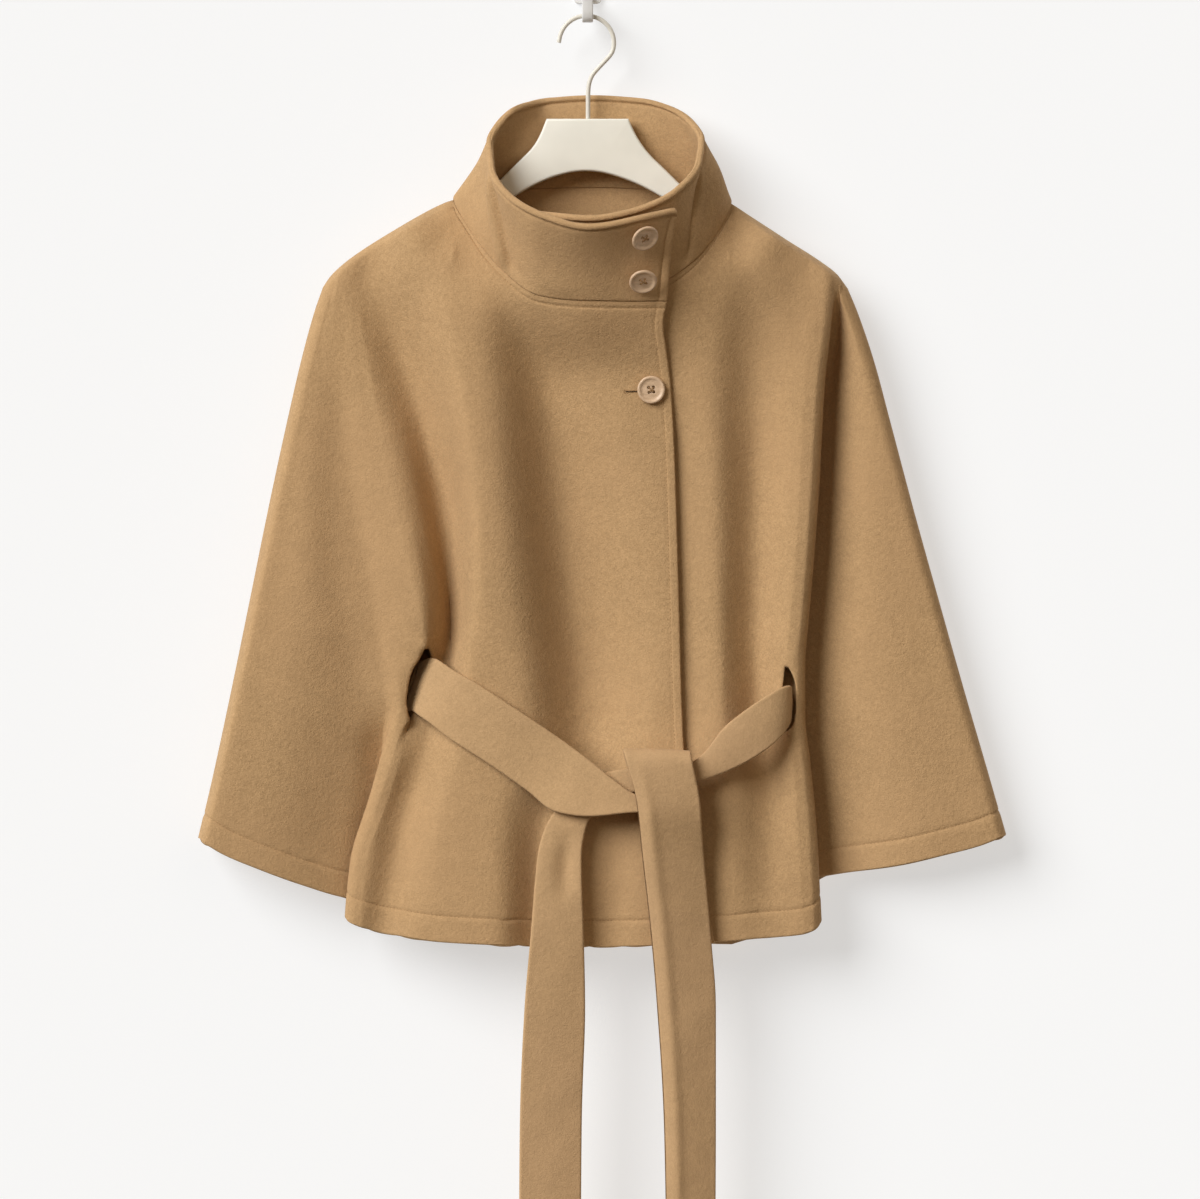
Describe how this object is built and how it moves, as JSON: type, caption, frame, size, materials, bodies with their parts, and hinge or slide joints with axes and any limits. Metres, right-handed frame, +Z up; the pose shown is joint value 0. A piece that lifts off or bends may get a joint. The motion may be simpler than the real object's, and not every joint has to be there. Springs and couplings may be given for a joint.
{
  "type": "wool cape on a hanger with a wall hook",
  "caption": "Belted cape with a stand collar and open wings, hung flat on a slim hanger that a small wall hook holds.",
  "frame": {"origin": "centre of the wall hook's plate, on the wall", "axes": "+Z up, +Y into the wall, and the cape faces -Y with its lapped front's edge towards +X"},
  "size_m": [0.7084, 0.1298, 1.183],
  "materials": {
    "wool": "milled wool cloth with a short nap",
    "belt_wool": "the same cloth, doubled and pressed",
    "button": "satin, horn-like",
    "hanger_paint": "cream satin paint over a flat board",
    "hook_metal": "cream satin coating on round wire",
    "wall_paint": "white satin paint"
  },
  "bodies": {
    "root": {"front_over": "wool", "front_under": "wool", "back": "wool", "collar": "wool", "belt_over": "belt_wool", "belt_under": "belt_wool", "belt_tail": "belt_wool", "belt_back": "belt_wool", "button_top": "button", "button_collar": "button", "button_front": "button", "hanger_body": "hanger_paint", "hanger_hook": "hook_metal", "wall_hook": "wall_paint"}
  },
  "joints": []
}
